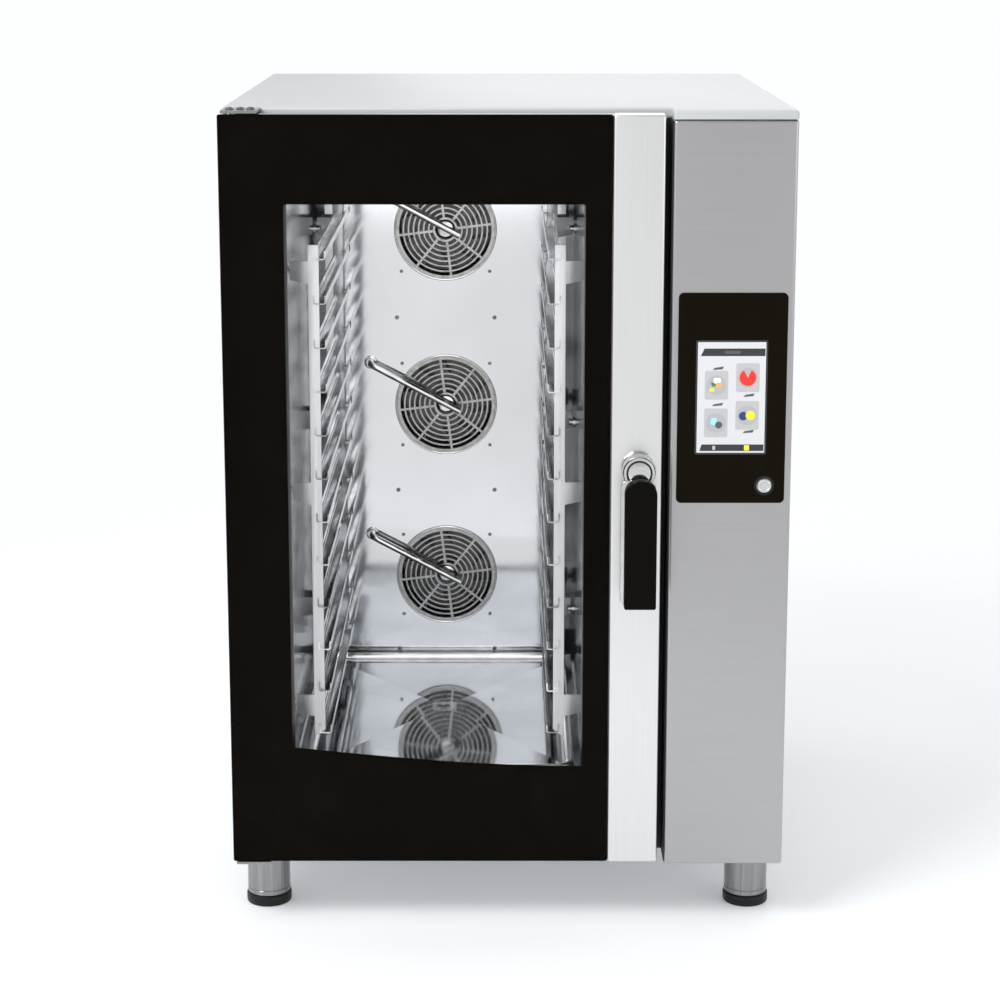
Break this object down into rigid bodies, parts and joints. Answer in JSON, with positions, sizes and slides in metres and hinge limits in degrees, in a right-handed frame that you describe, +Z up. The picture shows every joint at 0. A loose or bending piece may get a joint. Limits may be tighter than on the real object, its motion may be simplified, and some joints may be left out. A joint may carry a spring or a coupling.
{
  "type": "combi steamer oven",
  "caption": "Tall cabinet oven with a left-hinged glass door, quarter-turn handle, touch control column, tray racks, rear fans and levelling feet.",
  "frame": {"origin": "on the floor, under the middle of the overall box", "axes": "+Z up, +Y towards the back, -Y the front with the door, +X towards the control column"},
  "size_m": [0.8, 0.92, 1.19],
  "materials": {
    "cover_coat": "satin light grey coat",
    "satin_steel": "brushed, satin",
    "strip_steel": "fine brushed, bright",
    "chamber_steel": "smooth, nearly mirror",
    "zinc_sheet": "dull zinc-plated",
    "door_glass": "black tinted, polished",
    "inner_glass": "clear, polished",
    "panel_glass": "black, polished",
    "screen": "dark display",
    "circuit_board": "green lacquer",
    "seal_rubber": "matt",
    "grip_plastic": "fine grain",
    "foot_plastic": "fine grain",
    "chrome": "polished",
    "insulation": "fibrous",
    "motor_aluminium": "cast",
    "heater_tube": "heat-darkened",
    "brass": "machined",
    "lamp_glass": "frosted"
  },
  "bodies": {
    "casing": {"top_cover": "cover_coat", "left_side_panel": "satin_steel", "right_side_panel": "satin_steel", "back_panel": "satin_steel", "fan_grille_1": "satin_steel", "fan_grille_2": "satin_steel", "fan_grille_3": "satin_steel", "drain_strainer": "satin_steel", "drain_pipe": "satin_steel", "steam_vent_pipe": "satin_steel", "control_front_panel": "satin_steel", "hinge_upper_bracket": "satin_steel", "hinge_lower_bracket": "satin_steel", "latch_striker": "satin_steel", "front_frame": "chamber_steel", "cavity_liner": "chamber_steel", "air_baffle": "chamber_steel", "base_pan": "zinc_sheet", "control_glass": "panel_glass", "display_module": "screen", "control_board": "circuit_board", "door_gasket": "seal_rubber", "cable_gland": "foot_plastic", "injection_tube_1": "chrome", "injection_tube_2": "chrome", "injection_tube_3": "chrome", "leg_tube_front_left": "chrome", "leg_tube_rear_left": "chrome", "leg_tube_front_right": "chrome", "leg_tube_rear_right": "chrome", "insulation_jacket": "insulation", "fan_motor_1": "motor_aluminium", "fan_motor_2": "motor_aluminium", "fan_motor_3": "motor_aluminium", "heating_element_1": "heater_tube", "heating_element_2": "heater_tube", "heating_element_3": "heater_tube", "water_inlet_valve": "brass", "cavity_lamp": "lamp_glass"},
    "fan_1": {"fan_impeller_1": "satin_steel"},
    "fan_2": {"fan_impeller_2": "satin_steel"},
    "fan_3": {"fan_impeller_3": "satin_steel"},
    "rack_left_body": {"rack_left": "satin_steel"},
    "rack_right_body": {"rack_right": "satin_steel"},
    "door": {"door_outer_glass": "door_glass", "door_frame": "chamber_steel", "door_inner_glass": "inner_glass", "handle_strip": "strip_steel", "handle_rosette": "chrome", "hinge_pin_upper": "satin_steel", "hinge_pin_lower": "satin_steel"},
    "handle": {"handle_lever": "chrome", "handle_grip": "grip_plastic", "latch_cam": "zinc_sheet"},
    "button": {"push_button": "chrome"},
    "foot_front_left": {"foot_base_front_left": "foot_plastic"},
    "foot_rear_left": {"foot_base_rear_left": "foot_plastic"},
    "foot_front_right": {"foot_base_front_right": "foot_plastic"},
    "foot_rear_right": {"foot_base_rear_right": "foot_plastic"}
  },
  "joints": [
    {"name": "door_swing", "type": "hinge", "parent": "casing", "child": "door", "pos_m": [-0.382, -0.378, 0.64], "axis": [0, 0, -1], "range_deg": [0, 120]},
    {"name": "handle_turn", "type": "hinge", "parent": "door", "child": "handle", "pos_m": [0.184, -0.404, 0.688], "axis": [0, 1, 0], "range_deg": [0, 90]},
    {"name": "button_press", "type": "slide", "parent": "casing", "child": "button", "axis": [0, 1, 0], "range_m": [0, 0.002], "stiffness_N_per_m": 600},
    {"name": "fan_1_spin", "type": "hinge", "parent": "casing", "child": "fan_1", "pos_m": [-0.1015, 0.29, 0.352], "axis": [0, 1, 0], "continuous": true},
    {"name": "fan_2_spin", "type": "hinge", "parent": "casing", "child": "fan_2", "pos_m": [-0.1015, 0.29, 0.648], "axis": [0, 1, 0], "continuous": true},
    {"name": "fan_3_spin", "type": "hinge", "parent": "casing", "child": "fan_3", "pos_m": [-0.1015, 0.29, 0.944], "axis": [0, 1, 0], "continuous": true},
    {"name": "rack_left_lift", "type": "slide", "parent": "casing", "child": "rack_left_body", "axis": [0, 0, 1], "range_m": [0, 0.02]},
    {"name": "rack_right_lift", "type": "slide", "parent": "casing", "child": "rack_right_body", "axis": [0, 0, 1], "range_m": [0, 0.02]},
    {"name": "foot_front_left_level", "type": "slide", "parent": "casing", "child": "foot_front_left", "axis": [0, 0, -1], "range_m": [0, 0.03]},
    {"name": "foot_rear_left_level", "type": "slide", "parent": "casing", "child": "foot_rear_left", "axis": [0, 0, -1], "range_m": [0, 0.03]},
    {"name": "foot_front_right_level", "type": "slide", "parent": "casing", "child": "foot_front_right", "axis": [0, 0, -1], "range_m": [0, 0.03]},
    {"name": "foot_rear_right_level", "type": "slide", "parent": "casing", "child": "foot_rear_right", "axis": [0, 0, -1], "range_m": [0, 0.03]}
  ]
}
